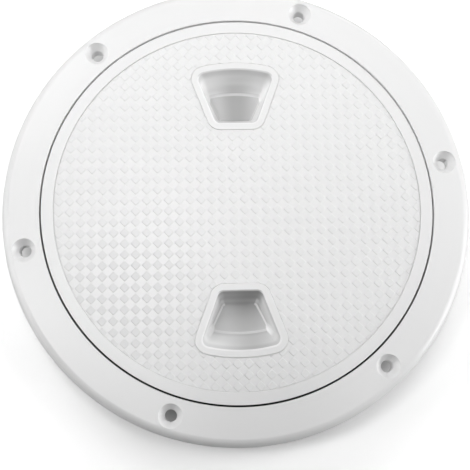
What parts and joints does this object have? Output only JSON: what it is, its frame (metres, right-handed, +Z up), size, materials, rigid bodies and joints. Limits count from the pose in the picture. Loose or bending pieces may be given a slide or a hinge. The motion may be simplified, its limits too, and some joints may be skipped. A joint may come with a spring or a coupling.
{
  "type": "deck inspection plate",
  "caption": "Round screw-out deck inspection plate: flanged ring with countersunk screw holes and a threaded cover with diamond tread and finger wells.",
  "frame": {"origin": "middle of the screw-hole circle, in the plane of the flange's underside, which sits on the deck", "axes": "+Z up out of the deck, square to the cover's face; +Y through the middle of one finger well; +X to the right of it"},
  "size_m": [0.206, 0.206, 0.0322],
  "materials": {
    "white_plastic": "satin moulded white plastic",
    "seal_rubber": "matt black rubber"
  },
  "bodies": {
    "ring": {"mounting_ring": "white_plastic"},
    "seal": {"seal_ring": "seal_rubber"},
    "cover": {"cover": "white_plastic"}
  },
  "joints": [
    {"name": "cover_lift", "type": "slide", "parent": "ring", "child": "seal", "axis": [0, 0, 1], "range_m": [0, 0.01]},
    {"name": "cover_turn", "type": "hinge", "parent": "seal", "child": "cover", "pos_m": [0, 0, 0], "axis": [0, 0, 1], "range_deg": [0, 720]}
  ],
  "couplings": [
    {"joint": "cover_lift", "follows": "cover_turn", "m_per_rad": 0.00079577}
  ]
}
